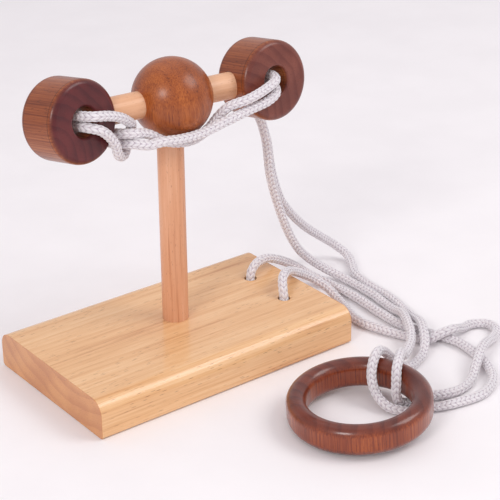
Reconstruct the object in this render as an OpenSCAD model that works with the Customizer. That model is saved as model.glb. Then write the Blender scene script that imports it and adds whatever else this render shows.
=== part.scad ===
// Table-top rope and ring puzzle: base board, post, ball, crossbar with two bored discs,
// one loose ring and one braided cord knotted under the board.
// Frame: +X along the board's grain, -Y towards the player, +Z up, origin in the middle of
// the board's underside.

/* [Base board] */

// Length of the board along its grain
base_l = 146; // [142:1:146]
// Width of the board across its grain
base_w = 88; // [84:1:92]
// Thickness of the board
base_t = 18.5; // [18:0.5:19]
// Radius of the two long top edges
top_round = 7; // [3:0.5:8]
// Radius of the two long bottom edges
foot_round = 1.5; // [1:0.5:2]
// Diameter of the two cord holes
cord_hole_d = 6.4; // [6.2:0.1:7]
// Diameter of the counterbores that hide the knots
knot_pocket_d = 14; // [13:0.5:16]
// Depth of the counterbores from the underside
knot_pocket_h = 9; // [9:0.5:10]

/* [Post and crossbar] */

// Diameter of the upright dowel
post_d = 12.7; // [12:0.1:13]
// Depth of the blind hole for the dowel
post_socket = 12; // [8:0.5:14]
// Height of the dowel's top inside the ball
post_top = 122; // [118:0.5:123]
// Diameter of the crossbar dowel
bar_d = 12.7; // [12:0.1:13]
// Distance from the post's axis to each end of the crossbar
bar_reach = 41; // [41:0.5:42]

/* [Ball] */

// Diameter of the ball
ball_d = 38; // [36:0.5:38]
// How far the ball's centre sits to the right of the post's axis
ball_shift = 1.8; // [0:0.1:2]

/* [Bored discs] */

// Outer diameter of each disc
disc_d = 38; // [36:0.5:38.5]
// Thickness of each disc
disc_t = 22; // [20:0.5:22]
// Rounding of the outer edges
disc_round = 3; // [2:0.5:4]
// Diameter of the bore that the cord runs through
bore_d = 14; // [14:0.5:16]
// Rounding of the bore's rims
rim_round = 1; // [0.5:0.25:1.5]
// Distance from the post's axis to the middle of each disc
disc_reach = 52; // [52:0.5:53]

/* [Loose ring] */

// Outer radius of the ring
ring_r = 33.3; // [32:0.1:33.5]
// Inner radius of the ring
ring_hole_r = 24; // [23.8:0.1:25]
// Height of the ring
ring_h = 14.3; // [14:0.1:14.3]
// Rounding of the ring's four corners
ring_round = 4.6; // [3:0.1:4.6]

/* [Cord] */

// Diameter of the braided cord
cord_d = 4.8; // [4.4:0.1:4.8]

/* [Hidden] */

$fn = 96;
glue = 0.1;
post_pos = [1, 3.5, 0];
bar_z = 131;
bar_yaw = -2.5;
bar_dip = 1.3;
disc_tilt = 9;
left_yaw = 9.3;
right_yaw = 2.9;
hole_a = [55, 14, 0];
hole_b = [54.5, -14, 0];
ring_pos = [27.1, -102.9, 9.2];
ring_lean = 4;
ring_high_side = -18;
knot_d = 12;
knot_round = 2.4;
knot_foot = 1;
tube_sides = 8;

// The cord's route in five stretches, from the knot under hole A to the knot under hole B.
route_a = [
    [55, 14, 9], [55, 14, 18], [56, 14.5, 21.7], [60, 15.5, 24.8], [67, 17, 24.8],
    [77, 19, 20.5], [90, 20, 12], [98, 17.5, 5.5], [103, 10, 2.5], [104, -10, 2.4],
    [102, -35, 2.4], [102, -52, 2.4], [107, -65, 2.4], [111.5, -78, 2.4], [110, -93, 2.4],
    [105.5, -107, 2.4], [97, -117.5, 2.4], [86, -122.5, 2.4], [79, -122.5, 2.4],
    [73, -121.5, 2.4]
];
route_ring_a = [
    [72.7, -121.4, 2.4], [67.5, -120.2, 2.4], [61, -117.5, 1.95], [54, -114, 1.85],
    [47.3, -111.2, 2.1], [42.5, -105.6, 3.2], [42, -98, 6.5], [42.8, -93.3, 12],
    [45.8, -90.3, 18], [51, -87.5, 21], [57, -85, 18.5], [64, -83.5, 11.5], [70.5, -83.5, 5],
    [78, -82.8, 2.4], [84, -80.5, 2.4]
];
route_up = [
    [84.3, -80.4, 2.4], [88, -79, 2.4], [94, -74.5, 5.5], [99.5, -67.5, 8], [105, -59, 7.6],
    [109, -50.5, 4.8], [114, -40, 2.4], [118, -22, 2.4], [119, -4, 2.4], [122, 9.5, 2.4],
    [129, 20.5, 2.4], [132, 29, 4], [127.5, 33.5, 9], [116, 32, 18], [103.5, 29, 28],
    [91, 25, 40], [81, 22, 52.5], [74, 20.5, 70], [70.5, 20.5, 90], [66, 21.5, 103],
    [60, 22.5, 116], [55, 20.5, 126], [52.5, 14, 131], [52.7, 2, 132.6], [52.8, -8, 133.6],
    [50, -13, 133.4], [43, -15, 131.4], [32, -15.8, 129], [24, -11.5, 126], [19.5, -9.3, 121.7],
    [13, -9.9, 117.2], [5, -10, 114.2], [-3, -9.6, 114.5], [-10, -8.2, 116.5],
    [-18, -6.3, 121.3], [-26, -6.3, 123.4], [-30.5, -1.5, 123.1], [-30.8, 7, 121.5],
    [-31.2, 16.5, 122.5], [-36.5, 24, 126.5], [-45, 25.5, 131], [-51, 22, 133],
    [-52.6, 15, 133.2], [-50.6, 2, 135.4], [-49.67, -4.41, 136.64], [-49.2, -5.5, 136.8]
];
route_hitch = [
    [-49.08, -5.77, 136.84], [-48.61, -6.86, 137], [-46.5, -9.2, 137.2], [-39, -8.9, 135.6],
    [-32, -7.2, 132.6], [-27, -4.8, 129], [-23.8, -2.4, 126.2], [-22.8, 0.5, 121.5],
    [-24.2, 1, 115.4], [-28, -1.6, 112.2], [-32.9, -5, 114.4], [-36, -7.7, 121],
    [-40.5, -9, 127], [-45, -9.4, 130.6], [-47.99, -7.53, 131.56], [-48.6, -6.5, 131.6]
];
route_down = [
    [-48.75, -6.24, 131.61], [-49.37, -5.21, 131.65], [-50.5, 3.5, 130], [-52.6, 15.5, 128],
    [-50, 21.5, 126.8], [-43, 24, 124.2], [-36, 21.5, 119.8], [-31.3, 14.5, 116.5],
    [-30.3, 6, 116.3], [-29.5, -1, 117.8], [-26, -6, 118.4], [-20.5, -10.5, 117.8],
    [-14, -13, 118.6], [-5, -14.2, 118], [5, -14.3, 118], [18, -15, 120.6], [33, -15, 123.3],
    [44, -14.8, 125], [50, -13.2, 126.9], [53.3, -8, 128.2], [53, 2, 127.2], [52.6, 11, 125.6],
    [53.8, 15.5, 123], [57.5, 17, 116.5], [61.5, 16, 108], [66.5, 15.5, 91], [69, 15.5, 72],
    [73, 15.7, 57.5], [80, 15.5, 38.5], [87, 16, 26], [95.5, 18.5, 17], [104, 20, 9.5],
    [111, 16.5, 4], [113.5, 7, 2.4], [113, -14, 2.4], [109.5, -35, 2.7], [106, -45, 6],
    [101, -53.5, 7.8], [94.5, -63.5, 7.8], [89, -70, 6.8], [84.3, -73.8, 6.8]
];
route_ring_b = [
    [84, -74, 6.8], [79, -77.5, 6.8], [73, -82.5, 9.7], [67.5, -87, 14.5], [61.5, -92.5, 19.3],
    [55, -98, 21], [49.6, -102.4, 18.9], [47.5, -104.7, 13], [47.1, -105.5, 7.6],
    [49.5, -105.7, 3.2], [54, -106.2, 1.85], [60, -107.3, 1.9], [67.5, -110.3, 2.4],
    [71, -111.8, 2.4], [73.7, -112.6, 2.4]
];
route_b = [
    [74, -112.7, 2.4], [77, -113.3, 2.4], [83, -113, 2.4], [90, -110.5, 2.6], [100, -104, 5.8],
    [110, -97.5, 7.8], [119, -92.5, 5.8], [128, -87.8, 2.8], [135.5, -82, 2.4],
    [136.5, -75, 2.4], [130.5, -70.5, 2.4], [122, -71.8, 3.5], [111.5, -75.6, 7.9],
    [106.5, -73.9, 6.9], [101.5, -69.5, 3.2], [97.5, -62.5, 2.4], [91.5, -48, 2.4],
    [88, -33, 2.4], [91, -20, 2.4], [94.5, -9, 3], [93.5, -1, 7], [86, 3, 13.5],
    [75, 1.5, 20.6], [65, -3.5, 26], [58, -8.5, 26.3], [54.9, -12.8, 22], [54.5, -14, 18],
    [54.5, -14, 9]
];

// ---------- shared shapes ----------

// Upright section of a turned piece, with its own rounding inside and outside.
module turned_section(r_in, r_out, h, round_in, round_out) {
    translate([r_in + round_in, -h / 2])
        square([r_out - r_in - round_in - round_out, h]);
    translate([r_in, -h / 2 + round_in])
        square([round_in + 0.01, h - 2 * round_in]);
    translate([r_out - round_out - 0.01, -h / 2 + round_out])
        square([round_out + 0.01, h - 2 * round_out]);
    for (s = [-1, 1]) {
        translate([r_in + round_in, s * (h / 2 - round_in)])
            circle(r = round_in);
        translate([r_out - round_out, s * (h / 2 - round_out)])
            circle(r = round_out);
    }
}

// Puts a shape that points along +Z on the crossbar's axis, centred over the post.
module along_bar() {
    translate([post_pos[0], post_pos[1], bar_z])
        rotate([0, 0, bar_yaw])
            rotate([0, 90 + bar_dip, 0])
                children();
}

// Puts a disc, whose axis is +Z, at one end of the crossbar, its face to the player.
module at_bar_end(side, yaw) {
    reach = side * disc_reach;
    flat = cos(bar_dip) * reach;
    translate([
        post_pos[0] + cos(bar_yaw) * flat,
        post_pos[1] + sin(bar_yaw) * flat,
        bar_z - sin(bar_dip) * reach
    ])
        rotate([0, 0, yaw])
            rotate([90 - disc_tilt, 0, 0])
                children();
}

module bar_rod(d, half) {
    along_bar()
        cylinder(d = d, h = 2 * half, center = true);
}

// A disc with its bore, and the blind socket that the crossbar is glued into.
module bored_disc(side, yaw) {
    difference() {
        at_bar_end(side, yaw)
            rotate_extrude()
                turned_section(bore_d / 2, disc_d / 2, disc_t, rim_round, disc_round);
        bar_rod(bar_d + glue, bar_reach);
    }
}

// ---------- swept tube ----------

function unit(v) = v / norm(v);

function heading(p, i) =
    i == 0 ? unit(p[1] - p[0])
    : i == len(p) - 1 ? unit(p[i] - p[i - 1])
    : unit(unit(p[i + 1] - p[i]) + unit(p[i] - p[i - 1]));

function first_side(t) = abs(t[2]) > 0.9 ? unit(cross(t, [1, 0, 0])) : unit(cross(t, [0, 0, 1]));

// Side vectors carried along the route without twist.
function sides_from(p, i, s) =
    i == len(p) ? []
    : let (t = heading(p, i), n = unit(s - (s * t) * t)) concat([n], sides_from(p, i + 1, n));

function ring_at(c, t, s, r) =
    let (u = cross(t, s), press = min(1, c[2] / r))
    [
        for (k = [0 : tube_sides - 1])
            let (a = 360 * (k + 0.5) / tube_sides, o = r * (cos(a) * s + sin(a) * u))
            [c[0] + o[0], c[1] + o[1], c[2] + o[2] * press]
    ];

// One closed tube along a route. Where the cord is pinched under the ring it is flatter.
module tube(p) {
    n = len(p);
    r = cord_d / 2;
    s = sides_from(p, 0, first_side(heading(p, 0)));
    rings = [for (i = [0 : n - 1]) ring_at(p[i], heading(p, i), s[i], r)];
    points = [for (ring = rings) for (q = ring) q];
    walls = [
        for (i = [0 : n - 2])
            for (k = [0 : tube_sides - 1])
                let (
                    a = i * tube_sides + k,
                    b = i * tube_sides + (k + 1) % tube_sides,
                    c = a + tube_sides,
                    d = b + tube_sides
                )
                each [[a, c, b], [b, c, d]]
    ];
    start_cap = [[for (k = [0 : tube_sides - 1]) k]];
    end_cap = [[for (k = [tube_sides - 1 : -1 : 0]) (n - 1) * tube_sides + k]];
    polyhedron(points = points, faces = concat(walls, start_cap, end_cap), convexity = 10);
}

// ---------- wooden pieces ----------

module base_section() {
    half = base_w / 2;
    translate([-half + top_round, 0])
        square([base_w - 2 * top_round, base_t]);
    translate([-half + foot_round, 0])
        square([base_w - 2 * foot_round, base_t - top_round]);
    translate([-half, foot_round])
        square([base_w, base_t - top_round - foot_round]);
    for (s = [-1, 1]) {
        translate([s * (half - top_round), base_t - top_round])
            circle(r = top_round);
        translate([s * (half - foot_round), foot_round])
            circle(r = foot_round);
    }
}

module base_board() {
    color([0.86, 0.68, 0.47])
        difference() {
            rotate([90, 0, 90])
                linear_extrude(height = base_l, center = true)
                    base_section();
            translate([post_pos[0], post_pos[1], base_t - post_socket])
                cylinder(d = post_d + glue, h = post_socket + 1);
            for (h = [hole_a, hole_b]) {
                translate([h[0], h[1], -1])
                    cylinder(d = cord_hole_d, h = base_t + 2);
                translate([h[0], h[1], -1])
                    cylinder(d = knot_pocket_d, h = knot_pocket_h + 1);
            }
        }
}

module post() {
    color([0.87, 0.66, 0.49])
        translate([post_pos[0], post_pos[1], base_t - post_socket])
            cylinder(d = post_d, h = post_top - base_t + post_socket);
}

module ball() {
    color([0.68, 0.36, 0.16])
        difference() {
            translate([post_pos[0] + ball_shift, post_pos[1], bar_z])
                sphere(d = ball_d);
            translate([post_pos[0], post_pos[1], post_top - 20])
                cylinder(d = post_d + glue, h = 20);
            bar_rod(bar_d + glue, ball_d);
        }
}

module crossbar() {
    color([0.88, 0.70, 0.52])
        bar_rod(bar_d, bar_reach);
}

module left_disc() {
    color([0.43, 0.24, 0.20])
        bored_disc(-1, left_yaw);
}

module right_disc() {
    color([0.43, 0.24, 0.20])
        bored_disc(1, right_yaw);
}

module loose_ring() {
    color([0.52, 0.22, 0.14])
        translate(ring_pos)
            rotate([0, 0, ring_high_side])
                rotate([0, -ring_lean, 0])
                    rotate_extrude()
                        turned_section(ring_hole_r, ring_r, ring_h, ring_round, ring_round);
}

// ---------- cord and knots ----------

module cord_near_a() {
    color([0.95, 0.93, 0.95])
        tube(route_a);
}

module cord_ring_a() {
    color([0.95, 0.93, 0.95])
        tube(route_ring_a);
}

module cord_rising() {
    color([0.95, 0.93, 0.95])
        tube(route_up);
}

module cord_hitch() {
    color([0.95, 0.93, 0.95])
        tube(route_hitch);
}

module cord_falling() {
    color([0.95, 0.93, 0.95])
        tube(route_down);
}

module cord_ring_b() {
    color([0.95, 0.93, 0.95])
        tube(route_ring_b);
}

module cord_near_b() {
    color([0.95, 0.93, 0.95])
        tube(route_b);
}

module knot(pos) {
    h = knot_pocket_h - knot_foot;
    color([0.95, 0.93, 0.95])
        translate([pos[0], pos[1], knot_foot + h / 2])
            rotate_extrude() {
                square([knot_d / 2 - knot_round, h / 2]);
                translate([0, -h / 2])
                    square([knot_d / 2 - knot_round, h / 2]);
                translate([0, -h / 2 + knot_round])
                    square([knot_d / 2, h - 2 * knot_round]);
                for (s = [-1, 1])
                    translate([knot_d / 2 - knot_round, s * (h / 2 - knot_round)])
                        circle(r = knot_round);
            }
}

module knot_a() {
    knot(hole_a);
}

module knot_b() {
    knot(hole_b);
}

base_board();
post();
ball();
crossbar();
left_disc();
right_disc();
loose_ring();
cord_near_a();
cord_ring_a();
cord_rising();
cord_hitch();
cord_falling();
cord_ring_b();
cord_near_b();
knot_a();
knot_b();
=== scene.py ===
# Rope-and-ring puzzle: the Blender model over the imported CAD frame, in metres.
import math

import bpy
import numpy as np
from mathutils import Matrix, Vector


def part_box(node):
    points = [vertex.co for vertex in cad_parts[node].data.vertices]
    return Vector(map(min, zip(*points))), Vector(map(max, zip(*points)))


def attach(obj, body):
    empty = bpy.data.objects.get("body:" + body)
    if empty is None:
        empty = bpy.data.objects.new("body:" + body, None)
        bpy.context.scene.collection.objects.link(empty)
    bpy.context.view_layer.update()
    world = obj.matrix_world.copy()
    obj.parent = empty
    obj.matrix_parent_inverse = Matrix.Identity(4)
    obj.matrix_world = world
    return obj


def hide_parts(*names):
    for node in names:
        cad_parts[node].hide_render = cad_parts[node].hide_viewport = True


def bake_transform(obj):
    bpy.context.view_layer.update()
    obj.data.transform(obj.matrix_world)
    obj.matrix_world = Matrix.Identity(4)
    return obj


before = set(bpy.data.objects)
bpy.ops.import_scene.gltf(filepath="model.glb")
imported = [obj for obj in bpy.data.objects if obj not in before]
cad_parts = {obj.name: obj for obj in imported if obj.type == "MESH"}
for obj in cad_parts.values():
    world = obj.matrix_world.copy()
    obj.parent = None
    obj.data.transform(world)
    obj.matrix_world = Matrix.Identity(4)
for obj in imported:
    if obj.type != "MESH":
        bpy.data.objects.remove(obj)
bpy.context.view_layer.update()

for spare in ("Cube", "Light", "Camera"):
    if spare in bpy.data.objects:
        bpy.data.objects.remove(bpy.data.objects[spare])


def srgb(red, green, blue):
    """A colour read on screen, 0 to 255, as the linear colour that shaders use."""
    steps = [v / 255 for v in (red, green, blue)]
    return tuple(v / 12.92 if v <= 0.04045 else ((v + 0.055) / 1.055) ** 2.4 for v in steps)


# ---------- camera, at the photograph's angle ----------

CAMERA_AT = Vector((-0.3925, -0.5725, 0.3859))
CAMERA_RIGHT = Vector((0.7927, -0.6095, -0.0081))
CAMERA_UP = Vector((0.268, 0.3366, 0.9027))
CAMERA_FORWARD = Vector((0.5475, 0.7178, -0.4302))
LENS_MM = 116.34

camera = bpy.data.objects.new("camera", bpy.data.cameras.new("camera"))
camera.data.lens = LENS_MM
camera.data.sensor_width = 36.0
axes = Matrix((CAMERA_RIGHT, CAMERA_UP, -CAMERA_FORWARD)).transposed()
camera.matrix_world = Matrix.Translation(CAMERA_AT) @ axes.to_4x4()
bpy.context.collection.objects.link(camera)
bpy.context.scene.camera = camera

# ---------- the cord's route, from the knot under hole A to the knot under hole B ----------

NEAR_A = [
    (0.055, 0.014, 0.009), (0.055, 0.014, 0.018), (0.056, 0.0145, 0.0217), (0.06, 0.0155, 0.0248),
    (0.067, 0.017, 0.0248), (0.077, 0.019, 0.0205), (0.09, 0.02, 0.012), (0.098, 0.0175, 0.0055),
    (0.103, 0.01, 0.0025), (0.104, -0.01, 0.0024), (0.102, -0.035, 0.0024), (0.102, -0.052, 0.0024),
    (0.107, -0.065, 0.0024), (0.1115, -0.078, 0.0024), (0.11, -0.093, 0.0024),
    (0.1055, -0.107, 0.0024), (0.097, -0.1175, 0.0024), (0.086, -0.1225, 0.0024),
    (0.079, -0.1225, 0.0024), (0.073, -0.1215, 0.0024),
]
RING_A = [
    (0.0727, -0.1214, 0.0024), (0.0675, -0.1202, 0.0024), (0.061, -0.1175, 0.00195),
    (0.054, -0.114, 0.00185), (0.0473, -0.1112, 0.0021), (0.0425, -0.1056, 0.0032),
    (0.042, -0.098, 0.0065), (0.0428, -0.0933, 0.012), (0.0458, -0.0903, 0.018),
    (0.051, -0.0875, 0.021), (0.057, -0.085, 0.0185), (0.064, -0.0835, 0.0115),
    (0.0705, -0.0835, 0.005), (0.078, -0.0828, 0.0024), (0.084, -0.0805, 0.0024),
]
RISING = [
    (0.0843, -0.0804, 0.0024), (0.088, -0.079, 0.0024), (0.094, -0.0745, 0.0055),
    (0.0995, -0.0675, 0.008), (0.105, -0.059, 0.0076), (0.109, -0.0505, 0.0048),
    (0.114, -0.04, 0.0024), (0.118, -0.022, 0.0024), (0.119, -0.004, 0.0024),
    (0.122, 0.0095, 0.0024), (0.129, 0.0205, 0.0024), (0.132, 0.029, 0.004),
    (0.1275, 0.0335, 0.009), (0.116, 0.032, 0.018), (0.1035, 0.029, 0.028), (0.091, 0.025, 0.04),
    (0.081, 0.022, 0.0525), (0.074, 0.0205, 0.07), (0.0705, 0.0205, 0.09), (0.066, 0.0215, 0.103),
    (0.06, 0.0225, 0.116), (0.055, 0.0205, 0.126), (0.0525, 0.014, 0.131), (0.0527, 0.002, 0.1326),
    (0.0528, -0.008, 0.1336), (0.05, -0.013, 0.1334), (0.043, -0.015, 0.1314),
    (0.032, -0.0158, 0.129), (0.024, -0.0115, 0.126), (0.0195, -0.0093, 0.1217),
    (0.013, -0.0099, 0.1172), (0.005, -0.01, 0.1142), (-0.003, -0.0096, 0.1145),
    (-0.01, -0.0082, 0.1165), (-0.018, -0.0063, 0.1213), (-0.026, -0.0063, 0.1234),
    (-0.0305, -0.0015, 0.1231), (-0.0308, 0.007, 0.1215), (-0.0312, 0.0165, 0.1225),
    (-0.0365, 0.024, 0.1265), (-0.045, 0.0255, 0.131), (-0.051, 0.022, 0.133),
    (-0.0526, 0.015, 0.1332), (-0.0506, 0.002, 0.1354), (-0.04967, -0.00441, 0.13664),
    (-0.0492, -0.0055, 0.1368),
]
HITCH = [
    (-0.04908, -0.00577, 0.13684), (-0.04861, -0.00686, 0.137), (-0.0465, -0.0092, 0.1372),
    (-0.039, -0.0089, 0.1356), (-0.032, -0.0072, 0.1326), (-0.027, -0.0048, 0.129),
    (-0.0238, -0.0024, 0.1262), (-0.0228, 0.0005, 0.1215), (-0.0242, 0.001, 0.1154),
    (-0.028, -0.0016, 0.1122), (-0.0329, -0.005, 0.1144), (-0.036, -0.0077, 0.121),
    (-0.0405, -0.009, 0.127), (-0.045, -0.0094, 0.1306), (-0.04799, -0.00753, 0.13156),
    (-0.0486, -0.0065, 0.1316),
]
FALLING = [
    (-0.04875, -0.00624, 0.13161), (-0.04937, -0.00521, 0.13165), (-0.0505, 0.0035, 0.13),
    (-0.0526, 0.0155, 0.128), (-0.05, 0.0215, 0.1268), (-0.043, 0.024, 0.1242),
    (-0.036, 0.0215, 0.1198), (-0.0313, 0.0145, 0.1165), (-0.0303, 0.006, 0.1163),
    (-0.0295, -0.001, 0.1178), (-0.026, -0.006, 0.1184), (-0.0205, -0.0105, 0.1178),
    (-0.014, -0.013, 0.1186), (-0.005, -0.0142, 0.118), (0.005, -0.0143, 0.118),
    (0.018, -0.015, 0.1206), (0.033, -0.015, 0.1233), (0.044, -0.0148, 0.125),
    (0.05, -0.0132, 0.1269), (0.0533, -0.008, 0.1282), (0.053, 0.002, 0.1272),
    (0.0526, 0.011, 0.1256), (0.0538, 0.0155, 0.123), (0.0575, 0.017, 0.1165),
    (0.0615, 0.016, 0.108), (0.0665, 0.0155, 0.091), (0.069, 0.0155, 0.072),
    (0.073, 0.0157, 0.0575), (0.08, 0.0155, 0.0385), (0.087, 0.016, 0.026), (0.0955, 0.0185, 0.017),
    (0.104, 0.02, 0.0095), (0.111, 0.0165, 0.004), (0.1135, 0.007, 0.0024), (0.113, -0.014, 0.0024),
    (0.1095, -0.035, 0.0027), (0.106, -0.045, 0.006), (0.101, -0.0535, 0.0078),
    (0.0945, -0.0635, 0.0078), (0.089, -0.07, 0.0068), (0.0843, -0.0738, 0.0068),
]
RING_B = [
    (0.084, -0.074, 0.0068), (0.079, -0.0775, 0.0068), (0.073, -0.0825, 0.0097),
    (0.0675, -0.087, 0.0145), (0.0615, -0.0925, 0.0193), (0.055, -0.098, 0.021),
    (0.0496, -0.1024, 0.0189), (0.0475, -0.1047, 0.013), (0.0471, -0.1055, 0.0076),
    (0.0495, -0.1057, 0.0032), (0.054, -0.1062, 0.00185), (0.06, -0.1073, 0.0019),
    (0.0675, -0.1103, 0.0024), (0.071, -0.1118, 0.0024), (0.0737, -0.1126, 0.0024),
]
NEAR_B = [
    (0.074, -0.1127, 0.0024), (0.077, -0.1133, 0.0024), (0.083, -0.113, 0.0024),
    (0.09, -0.1105, 0.0026), (0.1, -0.104, 0.0058), (0.11, -0.0975, 0.0078),
    (0.119, -0.0925, 0.0058), (0.128, -0.0878, 0.0028), (0.1355, -0.082, 0.0024),
    (0.1365, -0.075, 0.0024), (0.1305, -0.0705, 0.0024), (0.122, -0.0718, 0.0035),
    (0.1115, -0.0756, 0.0079), (0.1065, -0.0739, 0.0069), (0.1015, -0.0695, 0.0032),
    (0.0975, -0.0625, 0.0024), (0.0915, -0.048, 0.0024), (0.088, -0.033, 0.0024),
    (0.091, -0.02, 0.0024), (0.0945, -0.009, 0.003), (0.0935, -0.001, 0.007),
    (0.086, 0.003, 0.0135), (0.075, 0.0015, 0.0206), (0.065, -0.0035, 0.026),
    (0.058, -0.0085, 0.0263), (0.0549, -0.0128, 0.022), (0.0545, -0.014, 0.018),
    (0.0545, -0.014, 0.009),
]

CORD_D = 0.0048
CORD_R = CORD_D / 2
CORD_SIDES = 32
RING_STEP = 0.00045
BRAID_COLUMNS = 8
STITCH_LENGTH = 0.0025
STITCH_SLANT = 0.34
STITCH_RELIEF = 0.00034
KNOT_START = 0.0075
SAME_POINT = 0.0008
ROUTE_STEP = 0.002
STITCH_CROWN = 1.9
HOLE_A = (0.055, 0.014)
HOLE_B = (0.0545, -0.014)


def joined(*stretches):
    """One list of points: a stretch that starts where the last one ended doesn't repeat the point."""
    points = []
    for stretch in stretches:
        for point in stretch:
            if not points or (Vector(point) - Vector(points[-1])).length > SAME_POINT:
                points.append(point)
    return np.array(points)


def smooth_curve(points, per_span=24):
    """A centripetal Catmull-Rom curve through the points."""
    first = 2 * points[0] - points[1]
    last = 2 * points[-1] - points[-2]
    p = np.vstack([first, points, last])
    curve = []
    for i in range(1, len(p) - 2):
        p0, p1, p2, p3 = p[i - 1:i + 3]
        t0 = 0.0
        t1 = t0 + np.linalg.norm(p1 - p0) ** 0.5
        t2 = t1 + np.linalg.norm(p2 - p1) ** 0.5
        t3 = t2 + np.linalg.norm(p3 - p2) ** 0.5
        t = np.linspace(t1, t2, per_span, endpoint=False)[:, None]
        a1 = (t1 - t) / (t1 - t0) * p0 + (t - t0) / (t1 - t0) * p1
        a2 = (t2 - t) / (t2 - t1) * p1 + (t - t1) / (t2 - t1) * p2
        a3 = (t3 - t) / (t3 - t2) * p2 + (t - t2) / (t3 - t2) * p3
        b1 = (t2 - t) / (t2 - t0) * a1 + (t - t0) / (t2 - t0) * a2
        b2 = (t3 - t) / (t3 - t1) * a2 + (t - t1) / (t3 - t1) * a3
        curve.append((t2 - t) / (t2 - t1) * b1 + (t - t1) / (t2 - t1) * b2)
    curve.append(points[-1][None, :])
    return np.vstack(curve)


def even_steps(curve, step):
    """The same curve as points a step apart, and how far along each lies."""
    spans = np.linalg.norm(np.diff(curve, axis=0), axis=1)
    along = np.concatenate([[0.0], np.cumsum(spans)])
    count = int(round(along[-1] / step)) + 1
    wanted = np.linspace(0.0, along[-1], count)
    even = np.stack([np.interp(wanted, along, curve[:, k]) for k in range(3)], axis=1)
    return even, wanted


def carried_sides(curve):
    """Two side vectors at each point, carried along the curve without twist."""
    heading = np.gradient(curve, axis=0)
    heading /= np.linalg.norm(heading, axis=1)[:, None]
    away = np.array([1.0, 0.0, 0.0]) if abs(heading[0][2]) > 0.9 else np.array([0.0, 0.0, 1.0])
    side = np.cross(heading[0], away)
    sides = []
    for h in heading:
        side = side - side.dot(h) * h
        side = side / np.linalg.norm(side)
        sides.append(side)
    sides = np.array(sides)
    return sides, np.cross(heading, sides)


def stitch_height(turn, along):
    """Relief of the braid, 0 in the gaps to 1 on a stitch. Columns of slanted stitches that pair into Vs."""
    column = turn * BRAID_COLUMNS
    across = column - np.floor(column) - 0.5
    lean = np.where(np.floor(column) % 2 == 0, 1.0, -1.0)
    phase = along / STITCH_LENGTH + lean * across * STITCH_SLANT * 2
    crown = np.sqrt(np.clip(1 - (STITCH_CROWN * across) ** 2, 0, 1))
    wave = np.sqrt(0.5 + 0.5 * np.cos(2 * math.pi * phase))
    return crown * (0.25 + 0.75 * wave)


def braided_tube(name, curve, radius, pressed=True):
    """A round braid along a curve, as a mesh with a UV map: U once round, V in stitches."""
    rings, along = even_steps(curve, RING_STEP)
    s, u = carried_sides(rings)
    count = len(rings)
    turn = np.arange(CORD_SIDES) / CORD_SIDES
    angle = 2 * math.pi * turn
    relief = stitch_height(turn[None, :], along[:, None])
    reach = radius - STITCH_RELIEF * (1 - relief)
    offset = (
        np.cos(angle)[None, :, None] * s[:, None, :] + np.sin(angle)[None, :, None] * u[:, None, :]
    ) * reach[:, :, None]
    if pressed:
        offset[:, :, 2] *= np.clip(rings[:, 2] / radius, 0, 1)[:, None]
    verts = (rings[:, None, :] + offset).reshape(-1, 3)
    verts[:, 2] = np.maximum(verts[:, 2], 0.0)

    ring_index = np.repeat(np.arange(count - 1), CORD_SIDES)
    k = np.tile(np.arange(CORD_SIDES), count - 1)
    nxt = (k + 1) % CORD_SIDES
    a = ring_index * CORD_SIDES
    faces = np.stack([a + k, a + nxt, a + CORD_SIDES + nxt, a + CORD_SIDES + k], axis=1)
    caps = [list(range(CORD_SIDES))[::-1], [(count - 1) * CORD_SIDES + j for j in range(CORD_SIDES)]]

    mesh = bpy.data.meshes.new(name)
    mesh.from_pydata(verts.tolist(), [], faces.tolist() + caps)
    layer = mesh.uv_layers.new(name="braid")
    v_low = along[ring_index] / STITCH_LENGTH
    v_high = along[ring_index + 1] / STITCH_LENGTH
    u_low = k / CORD_SIDES
    u_high = (k + 1) / CORD_SIDES
    uv = np.stack([u_low, v_low, u_high, v_low, u_high, v_high, u_low, v_high], axis=1)
    flat = np.concatenate([uv.ravel(), np.zeros(2 * 2 * CORD_SIDES)])
    layer.data.foreach_set("uv", flat)
    mesh.polygons.foreach_set("use_smooth", np.ones(len(mesh.polygons), dtype=bool))
    mesh.update()
    obj = bpy.data.objects.new(name, mesh)
    bpy.context.collection.objects.link(obj)
    return obj


route = joined(NEAR_A, RING_A, RISING, HITCH, FALLING, RING_B, NEAR_B)
route[0][2] = KNOT_START
route[-1][2] = KNOT_START
centreline = smooth_curve(route)
centreline, _ = even_steps(centreline, ROUTE_STEP)
cord = braided_tube("braided_cord", smooth_curve(centreline, 6), CORD_R)

# ---------- the knots in the pockets under the board ----------

POCKET_MIDDLE = 0.005
KNOT_CORD_R = 0.0019
KNOT_LOOP = 0.00118
KNOT_RISE = 0.0019


def knot_in(name, hole, turned):
    """An overhand knot pulled tight, drawn as a closed trefoil of braid, in the pocket under a hole."""
    t = np.linspace(0, 2 * math.pi, 120)
    loop = np.stack([
        KNOT_LOOP * (np.sin(t + turned) + 2 * np.sin(2 * (t + turned))),
        KNOT_LOOP * (np.cos(t + turned) - 2 * np.cos(2 * (t + turned))),
        POCKET_MIDDLE - KNOT_RISE * np.sin(3 * (t + turned)),
    ], axis=1)
    loop[:, :2] += hole
    return braided_tube(name, loop, KNOT_CORD_R, pressed=False)


knots = [
    knot_in("tied_knot_a", HOLE_A, 0.0),
    knot_in("tied_knot_b", HOLE_B, 0.8),
]

# ---------- shader helpers ----------

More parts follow.
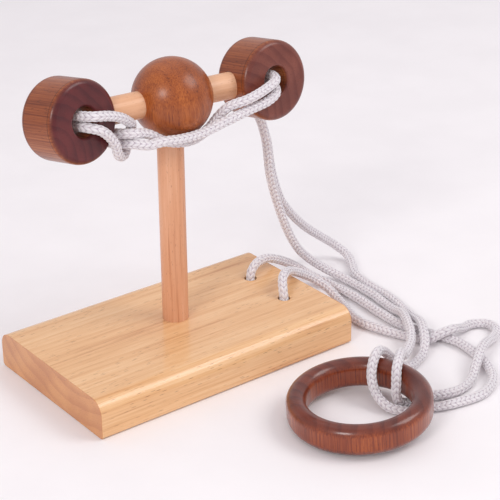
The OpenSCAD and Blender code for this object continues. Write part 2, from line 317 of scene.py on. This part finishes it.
class Shader:
    """A material's nodes, added in the order in which they are used."""

    def __init__(self, name):
        self.material = bpy.data.materials.new(name)
        self.material.use_nodes = True
        self.nodes = self.material.node_tree.nodes
        self.links = self.material.node_tree.links
        self.nodes.clear()

    def add(self, kind, inputs, **settings):
        """A node with its settings and inputs; an input is a value or another node's output."""
        node = self.nodes.new(kind)
        for key, value in settings.items():
            setattr(node, key, value)
        for key, value in inputs.items():
            if isinstance(value, bpy.types.NodeSocket):
                self.links.new(value, node.inputs[key])
            else:
                node.inputs[key].default_value = value
        return node

    def math(self, operation, *values, clamp=False):
        inputs = dict(enumerate(values))
        return self.add("ShaderNodeMath", inputs, operation=operation, use_clamp=clamp).outputs[0]

    def object_mm(self, at, rotation):
        """Places in the piece's own frame, in millimetres, the wood's grain along Z."""
        place = self.add("ShaderNodeTexCoord", {}).outputs["Object"]
        local = self.add(
            "ShaderNodeMapping", {"Vector": place, "Location": at, "Rotation": rotation},
            vector_type="TEXTURE",
        ).outputs[0]
        return self.add("ShaderNodeVectorMath", {0: local, "Scale": 1000.0}, operation="SCALE").outputs[0]

    def stretched(self, vector, scale):
        return self.add("ShaderNodeVectorMath", {0: vector, 1: scale}, operation="MULTIPLY").outputs[0]

    def noise(self, vector, detail=3.0, roughness=0.5, distortion=0.0, scale=1.0):
        inputs = {
            "Vector": vector, "Scale": scale, "Detail": detail,
            "Roughness": roughness, "Distortion": distortion,
        }
        return self.add("ShaderNodeTexNoise", inputs).outputs["Fac"]

    def cells(self, vector):
        inputs = {"Vector": vector, "Scale": 1.0}
        return self.add("ShaderNodeTexVoronoi", inputs, feature="F1").outputs["Distance"]

    def span(self, value, low, high, to_low=0.0, to_high=1.0):
        """The value taken from one range to another, smoothly, and held at its ends."""
        inputs = {"Value": value, "From Min": low, "From Max": high, "To Min": to_low, "To Max": to_high}
        return self.add("ShaderNodeMapRange", inputs, interpolation_type="SMOOTHSTEP").outputs[0]

    def mix(self, factor, first, second):
        first = first if isinstance(first, bpy.types.NodeSocket) else (*first, 1.0)
        second = second if isinstance(second, bpy.types.NodeSocket) else (*second, 1.0)
        inputs = {0: factor, 6: first, 7: second}
        return self.add("ShaderNodeMix", inputs, data_type="RGBA").outputs[2]

    def finish(self, color, roughness, height, depth, coat=0.0, coat_roughness=0.2, sheen=0.0):
        """A Principled surface with a bump, whose height is in units of depth metres."""
        bump = self.add("ShaderNodeBump", {"Height": height, "Distance": depth, "Strength": 1.0}).outputs[0]
        inputs = {
            "Base Color": color, "Roughness": roughness, "Normal": bump, "Coat Weight": coat,
            "Coat Roughness": coat_roughness, "Sheen Weight": sheen, "Sheen Roughness": 0.4, "IOR": 1.5,
            "Specular IOR Level": 0.5 if coat == 0.0 else 0.22,
        }
        surface = self.add("ShaderNodeBsdfPrincipled", inputs)
        out = self.nodes.new("ShaderNodeOutputMaterial")
        self.links.new(surface.outputs[0], out.inputs["Surface"])
        return self.material


def wood(
    name, at, rotation, light, middle, dark, pore, end_light=None, end_dark=None, end_from=1e3, end_to=1e4,
    end_bands=0.2, dark_line_at=None,
    streaks_per_mm=0.5, ring_spacing=3.0, pith=(30.0, 20.0), ring_depth=0.35, fibre_depth=0.35,
    patch_depth=0.4,
    pore_size=(1.5, 1.5, 0.16), pore_width=0.2, pore_depth=0.5, roughness=0.36, coat=0.35,
    coat_roughness=0.22,
    bump=0.00006,
):
    """Varnished solid wood, grain along the piece's own Z: growth bands, fibres, pores, and end grain."""
    sh = Shader(name)
    p = sh.object_mm(at, rotation)
    parts = sh.add("ShaderNodeSeparateXYZ", {0: p})
    x, y, z = parts.outputs

    sway = sh.noise(sh.stretched(p, (0.035, 0.035, 0.008)), detail=2.0)
    ripple = sh.noise(sh.stretched(p, (0.22, 0.22, 0.02)), detail=2.0)
    off_x = sh.math("ADD", x, pith[0])
    off_y = sh.math("ADD", y, pith[1])
    squares = sh.math("ADD", sh.math("MULTIPLY", off_x, off_x), sh.math("MULTIPLY", off_y, off_y))
    from_pith = sh.math("SQRT", squares)
    bent = sh.math("ADD", from_pith, sh.math("MULTIPLY", sway, 9.0))
    bent = sh.math("ADD", bent, sh.math("MULTIPLY", ripple, 1.6))
    cycle = sh.math("FRACT", sh.math("DIVIDE", bent, ring_spacing))
    late = sh.span(cycle, 0.35, 0.92)
    back = sh.span(cycle, 0.92, 1.0, 1.0, 0.0)
    band = sh.math("MULTIPLY", late, back)

    fibre = sh.noise(sh.stretched(p, (2.6, 2.6, 0.045)), detail=4.0, roughness=0.6)
    fine = sh.noise(sh.stretched(p, (7.0, 7.0, 0.12)), detail=2.0, roughness=0.6)
    patch = sh.noise(sh.stretched(p, (0.06, 0.06, 0.014)), detail=3.0)
    streaks = sh.noise(sh.stretched(p, (streaks_per_mm, streaks_per_mm, 0.012)), detail=3.0)
    streak = sh.span(streaks, 0.4, 0.72)

    tone = sh.math("ADD", sh.math("MULTIPLY", band, ring_depth), sh.math("MULTIPLY", streak, fibre_depth))
    tone = sh.math("ADD", tone, sh.math("MULTIPLY", sh.span(fibre, 0.3, 0.75), fibre_depth))
    tone = sh.math("ADD", tone, sh.math("MULTIPLY", sh.span(patch, 0.3, 0.7), patch_depth), clamp=True)
    pale = sh.mix(sh.span(tone, 0.0, 0.5), light, middle)
    color = sh.mix(sh.span(tone, 0.45, 1.0), pale, dark)

    cell = sh.cells(sh.stretched(p, pore_size))
    thin_out = sh.noise(sh.stretched(p, (0.16, 0.16, 0.02)), detail=1.0)
    pores = sh.span(cell, pore_width, pore_width * 0.45)
    pores = sh.math("MULTIPLY", pores, sh.span(thin_out, 0.38, 0.62, 0.25, 1.0))
    pores = sh.math("MULTIPLY", pores, pore_depth)
    color = sh.mix(pores, color, pore)
    color = sh.mix(sh.math("MULTIPLY", sh.span(fine, 0.5, 0.8), 0.25), color, dark)

    if end_light is not None:
        end_tone = sh.math("MULTIPLY", band, end_bands)
        end_tone = sh.math("ADD", end_tone, sh.math("MULTIPLY", fine, 0.5))
        end_tone = sh.math("ADD", end_tone, sh.math("MULTIPLY", sh.span(patch, 0.3, 0.7), 0.3), clamp=True)
        end_color = sh.mix(sh.span(end_tone, 0.1, 0.8), end_light, end_dark)
        speck = sh.cells(sh.stretched(p, (1.1, 1.1, 0.05)))
        end_color = sh.mix(sh.span(speck, 0.26, 0.12, 0.0, 0.5), end_color, pore)
        depth_in = sh.math("ABSOLUTE", z)
        color = sh.mix(sh.span(depth_in, end_from, end_to), color, end_color)
        # A thin darker line round the piece at this distance along its axis, mixed towards the pore colour.
        if dark_line_at is not None:
            before = sh.span(depth_in, dark_line_at - 0.35, dark_line_at)
            after = sh.span(depth_in, dark_line_at + 0.35, dark_line_at)
            dark_line_mix = sh.math("MULTIPLY", sh.math("MULTIPLY", before, after), 0.7)
            color = sh.mix(dark_line_mix, color, pore)

    height = sh.math("SUBTRACT", sh.math("MULTIPLY", fine, 0.35), pores)
    height = sh.math("ADD", height, sh.math("MULTIPLY", fibre, 0.4))
    shine = sh.math("ADD", sh.math("MULTIPLY", fibre, 0.12), sh.math("MULTIPLY", pores, 0.2))
    shine = sh.math("ADD", shine, roughness - 0.06)
    return sh.finish(color, shine, height, bump, coat, coat_roughness)


def braid(name):
    """White nylon braid: slanted stitches that pair into Vs, filaments in each, and painted lavender shade
    in the gaps between stitches.
    """
    sh = Shader(name)
    place = sh.add("ShaderNodeUVMap", {}, uv_map="braid").outputs[0]
    parts = sh.add("ShaderNodeSeparateXYZ", {0: place})
    turn, stitch = parts.outputs[0], parts.outputs[1]
    column = sh.math("MULTIPLY", turn, float(BRAID_COLUMNS))
    whole = sh.math("FLOOR", column)
    across = sh.math("SUBTRACT", sh.math("SUBTRACT", column, whole), 0.5)
    odd = sh.math("MODULO", whole, 2.0)
    lean = sh.math("SUBTRACT", 1.0, sh.math("MULTIPLY", odd, 2.0))
    slant = sh.math("MULTIPLY", sh.math("MULTIPLY", across, lean), STITCH_SLANT * 2)
    phase = sh.math("ADD", stitch, slant)
    wave = sh.math("COSINE", sh.math("MULTIPLY", phase, 2 * math.pi))
    wave = sh.math("SQRT", sh.math("ADD", sh.math("MULTIPLY", wave, 0.5), 0.5, clamp=True))
    wide = sh.math("MULTIPLY", across, STITCH_CROWN)
    crown = sh.math("SQRT", sh.math("SUBTRACT", 1.0, sh.math("MULTIPLY", wide, wide), clamp=True))
    relief = sh.math("MULTIPLY", crown, sh.math("ADD", sh.math("MULTIPLY", wave, 0.75), 0.25))

    run = sh.math("ADD", sh.math("MULTIPLY", across, 5.0), sh.math("MULTIPLY", phase, lean))
    thread = sh.math("SINE", sh.math("MULTIPLY", run, 12.0))
    thread = sh.math("ADD", sh.math("MULTIPLY", thread, 0.5), 0.5)
    place_mm = sh.object_mm((0, 0, 0), (0, 0, 0))
    uneven = sh.noise(sh.stretched(place_mm, (0.35, 0.35, 0.35)), detail=3.0)

    # Painted shade: the low parts of the relief, the gaps between stitches, take a lavender-grey colour that
    # stands for the shade in the braid's grooves.
    gap_shade_blend = sh.span(relief, 0.1, 0.6)
    color = sh.mix(gap_shade_blend, CORD_GAP_SHADE, CORD_STITCH)
    color = sh.mix(sh.span(uneven, 0.35, 0.75, 0.0, 0.35), color, CORD_SHADE)
    color = sh.mix(sh.math("MULTIPLY", thread, 0.16), color, CORD_THREAD)
    height = sh.math("ADD", relief, sh.math("MULTIPLY", thread, 0.12))
    shine = sh.math("ADD", 0.38, sh.math("MULTIPLY", uneven, 0.12))
    return sh.finish(color, shine, height, 0.0005, sheen=0.6)


# ---------- colours ----------

CORD_STITCH = srgb(255, 251, 254)
# Painted shade for the braid's gaps, lavender-grey against the white stitches.
CORD_GAP_SHADE = srgb(190, 172, 186)
CORD_SHADE = srgb(253, 243, 242)
CORD_THREAD = srgb(246, 238, 246)

# ---------- the wooden pieces keep their CAD shape and get their wood ----------


def frame_of(node):
    """The middle of a node's box, in metres."""
    low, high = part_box(node)
    return (Vector(low) + Vector(high)) / 2


# Directions in degrees, as the CAD places the pieces: the discs' axis is 9 degrees off level.
DISC_TILT = 81.0
BAR_YAW = -2.5
RING_AT = (0.0271, -0.1029, 0.0092)
RING_LEAN = -4.0
RING_HIGH_SIDE = -18.0


def turned_about(azimuth, tilt):
    """Rotation that takes a grain along Z to a disc's axis: tilted off upright, then turned."""
    return (math.radians(tilt), 0.0, math.radians(azimuth))


board_wood = wood(
    "board_rubberwood", frame_of("base_board"), (0.0, math.radians(90), 0.0),
    light=srgb(244, 202, 154), middle=srgb(232, 182, 130), dark=srgb(200, 140, 90), pore=srgb(140, 86, 52),
    end_light=srgb(220, 156, 98), end_dark=srgb(196, 128, 78), end_bands=0.25, end_from=72.6, end_to=72.98,
    ring_spacing=7.0, pith=(70.0, 16.0), ring_depth=0.1, fibre_depth=0.36, patch_depth=0.25,
    pore_size=(1.3, 1.3, 0.12), pore_width=0.22, pore_depth=0.75, roughness=0.32, coat=0.8,
    coat_roughness=0.15,
)
dowel_wood = wood(
    "post_dowel", frame_of("post"), (0.0, 0.0, 0.0),
    light=srgb(234, 182, 148), middle=srgb(224, 164, 126), dark=srgb(196, 130, 92), pore=srgb(140, 82, 58),
    ring_spacing=4.0, pith=(20.0, 6.0), ring_depth=0.08, fibre_depth=0.36, patch_depth=0.3,
    pore_size=(1.5, 1.5, 0.26), pore_width=0.22, pore_depth=0.6, roughness=0.4, coat=0.25,
    coat_roughness=0.25,
)
bar_wood = wood(
    "crossbar_dowel", frame_of("crossbar"), (0.0, math.radians(91.3), math.radians(BAR_YAW)),
    light=srgb(238, 190, 154), middle=srgb(228, 176, 138), dark=srgb(206, 148, 110),
    pore=srgb(156, 100, 74),
    ring_spacing=4.0, pith=(14.0, 16.0), ring_depth=0.08, fibre_depth=0.3, patch_depth=0.3,
    pore_size=(1.6, 1.6, 0.26), pore_width=0.22, pore_depth=0.5, roughness=0.4, coat=0.25,
    coat_roughness=0.25,
)
ball_wood = wood(
    "ball_wood", frame_of("ball"), (math.radians(6), math.radians(-8), 0.0),
    light=srgb(184, 102, 44), middle=srgb(154, 76, 28), dark=srgb(100, 42, 16), pore=srgb(64, 24, 10),
    streaks_per_mm=1.6, ring_spacing=6.0, pith=(24.0, 10.0), ring_depth=0.14, fibre_depth=0.36,
    patch_depth=0.3,
    pore_size=(2.4, 2.4, 0.3), pore_width=0.24, pore_depth=0.5, roughness=0.42, coat=0.6,
    coat_roughness=0.27,
)


def disc_material(name, node, azimuth, face_light, face_dark):
    """Dark stained disc: light streaks along its axis on the side, purple-brown end grain on its faces."""
    return wood(
        name, frame_of(node), turned_about(azimuth, DISC_TILT),
        light=srgb(182, 108, 60), middle=srgb(144, 74, 38), dark=srgb(96, 40, 22), pore=srgb(58, 22, 14),
        end_light=face_light, end_dark=face_dark, end_bands=0.2, end_from=8.4, end_to=10.8, dark_line_at=8.1,
        streaks_per_mm=1.1, ring_spacing=5.0, pith=(26.0, 14.0), ring_depth=0.12,
        fibre_depth=0.36, patch_depth=0.3,
        pore_size=(1.6, 1.6, 0.18), pore_width=0.24, pore_depth=0.7, roughness=0.4, coat=0.45,
        coat_roughness=0.22,
    )


left_wood = disc_material("left_disc_wood", "left_disc", 9.3, srgb(104, 38, 38), srgb(74, 20, 26))
right_wood = disc_material("right_disc_wood", "right_disc", 2.9, srgb(132, 72, 58), srgb(100, 46, 38))
ring_wood = wood(
    "loose_ring_wood", RING_AT, (0.0, math.radians(RING_LEAN), math.radians(RING_HIGH_SIDE)),
    light=srgb(176, 88, 38), middle=srgb(136, 58, 26), dark=srgb(94, 32, 15), pore=srgb(52, 18, 10),
    end_light=srgb(122, 54, 34), end_dark=srgb(84, 29, 18), end_bands=0.2, end_from=2.6, end_to=6.8,
    streaks_per_mm=1.3, ring_spacing=6.0, pith=(44.0, 8.0), ring_depth=0.08, fibre_depth=0.36,
    patch_depth=0.35,
    pore_size=(2.2, 2.2, 0.24), pore_width=0.26, pore_depth=0.6, roughness=0.34, coat=0.8,
    coat_roughness=0.2,
    bump=0.00012,
)

WOODS = {
    "base_board": board_wood, "post": dowel_wood, "crossbar": bar_wood, "ball": ball_wood,
    "left_disc": left_wood, "right_disc": right_wood, "loose_ring": ring_wood,
}
for node, material in WOODS.items():
    slot = bpy.data.objects[node].material_slots[0]
    slot.link = "OBJECT"
    slot.material = material

braid_material = braid("nylon_braid")
for piece in (cord, *knots):
    piece.data.materials.append(braid_material)

# ---------- what moves with what ----------

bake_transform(cord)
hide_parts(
    "cord_near_a", "cord_ring_a", "cord_rising", "cord_hitch", "cord_falling", "cord_ring_b", "cord_near_b"
)
for knot, node in zip(knots, ("knot_a", "knot_b")):
    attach(knot, "stand")
    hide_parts(node)

# ---------- floor and light ----------

FLOOR_HALF = 3.0
FLOOR_DROP = 0.0002
DAYLIGHT = 0.72

floor_mesh = bpy.data.meshes.new("floor")
floor_corners = [
    (-FLOOR_HALF, -FLOOR_HALF, 0), (FLOOR_HALF, -FLOOR_HALF, 0),
    (FLOOR_HALF, FLOOR_HALF, 0), (-FLOOR_HALF, FLOOR_HALF, 0),
]
floor_mesh.from_pydata(floor_corners, [], [(0, 1, 2, 3)])
floor = bpy.data.objects.new("floor", floor_mesh)
floor.location.z = -FLOOR_DROP
bpy.context.collection.objects.link(floor)
paper = Shader("pale_paper")
paper_place = paper.object_mm((0, 0, 0), (0, 0, 0))
paper_noise = paper.noise(paper.stretched(paper_place, (0.02, 0.02, 0.02)), detail=4.0)
paper_color = paper.mix(paper.span(paper_noise, 0.3, 0.7), srgb(245, 242, 243), srgb(248, 245, 246))
floor_mesh.materials.append(paper.finish(paper_color, 0.85, paper_noise, 0.00002))

world = bpy.data.worlds.new("studio")
world.use_nodes = True
background = world.node_tree.nodes["Background"]
background.inputs["Color"].default_value = (*srgb(247, 243, 248), 1.0)
background.inputs["Strength"].default_value = DAYLIGHT
bpy.context.scene.world = world
bpy.context.scene.view_settings.view_transform = "Standard"


def softbox(name, direction, distance, size, watts, color):
    """A square light that faces the middle of the object."""
    aim = Vector((0.02, -0.03, 0.07))
    light = bpy.data.lights.new(name, "AREA")
    light.size = size
    light.energy = watts
    light.color = color
    obj = bpy.data.objects.new(name, light)
    way = Vector(direction).normalized()
    obj.location = aim + way * distance
    obj.rotation_euler = way.to_track_quat("Z", "Y").to_euler()
    bpy.context.collection.objects.link(obj)


softbox("left_window", (-0.80, -0.36, 0.55), 1.3, 0.36, 4.6, (1.0, 0.985, 0.97))
softbox("right_window", (0.52, -0.46, 0.72), 1.3, 0.62, 5.2, (1.0, 0.99, 0.98))
softbox("top_fill", (0.1, 0.3, 1.0), 1.6, 1.2, 1.6, (1.0, 1.0, 1.0))
